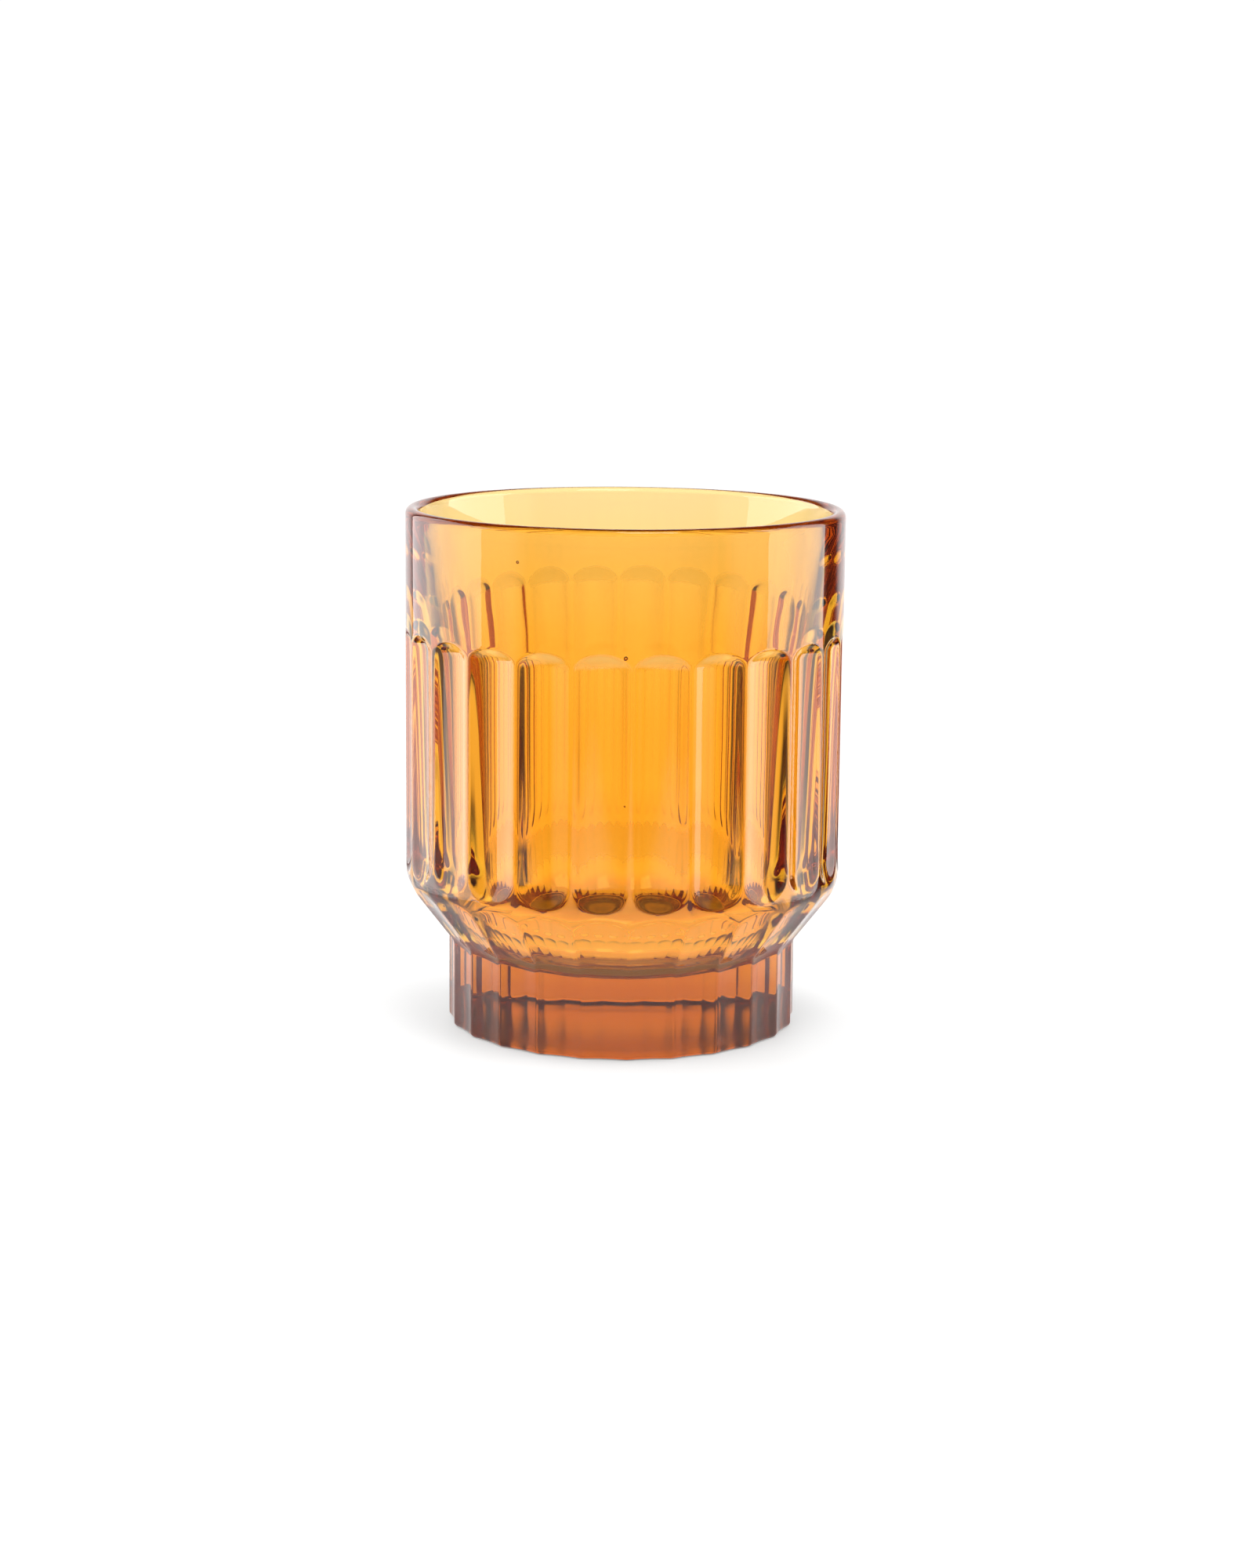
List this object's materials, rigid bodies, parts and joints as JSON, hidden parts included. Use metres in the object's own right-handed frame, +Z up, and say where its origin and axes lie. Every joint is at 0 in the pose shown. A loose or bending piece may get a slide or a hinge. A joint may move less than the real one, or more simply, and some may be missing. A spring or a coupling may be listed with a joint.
{
  "type": "drinking glass",
  "caption": "Amber pressed-glass tumbler: straight bowl with concave flutes under a plain band, a short cone and a thick panelled foot.",
  "frame": {"origin": "centre of the foot's ring, on the plane that the glass stands on", "axes": "+Z up along the glass's turning axis; a ridge between two flutes faces -Y"},
  "size_m": [0.084, 0.084, 0.1],
  "materials": {
    "amber_glass": "clear amber soda-lime glass, fire-polished gloss"
  },
  "bodies": {
    "root": {"tumbler": "amber_glass"}
  },
  "joints": []
}
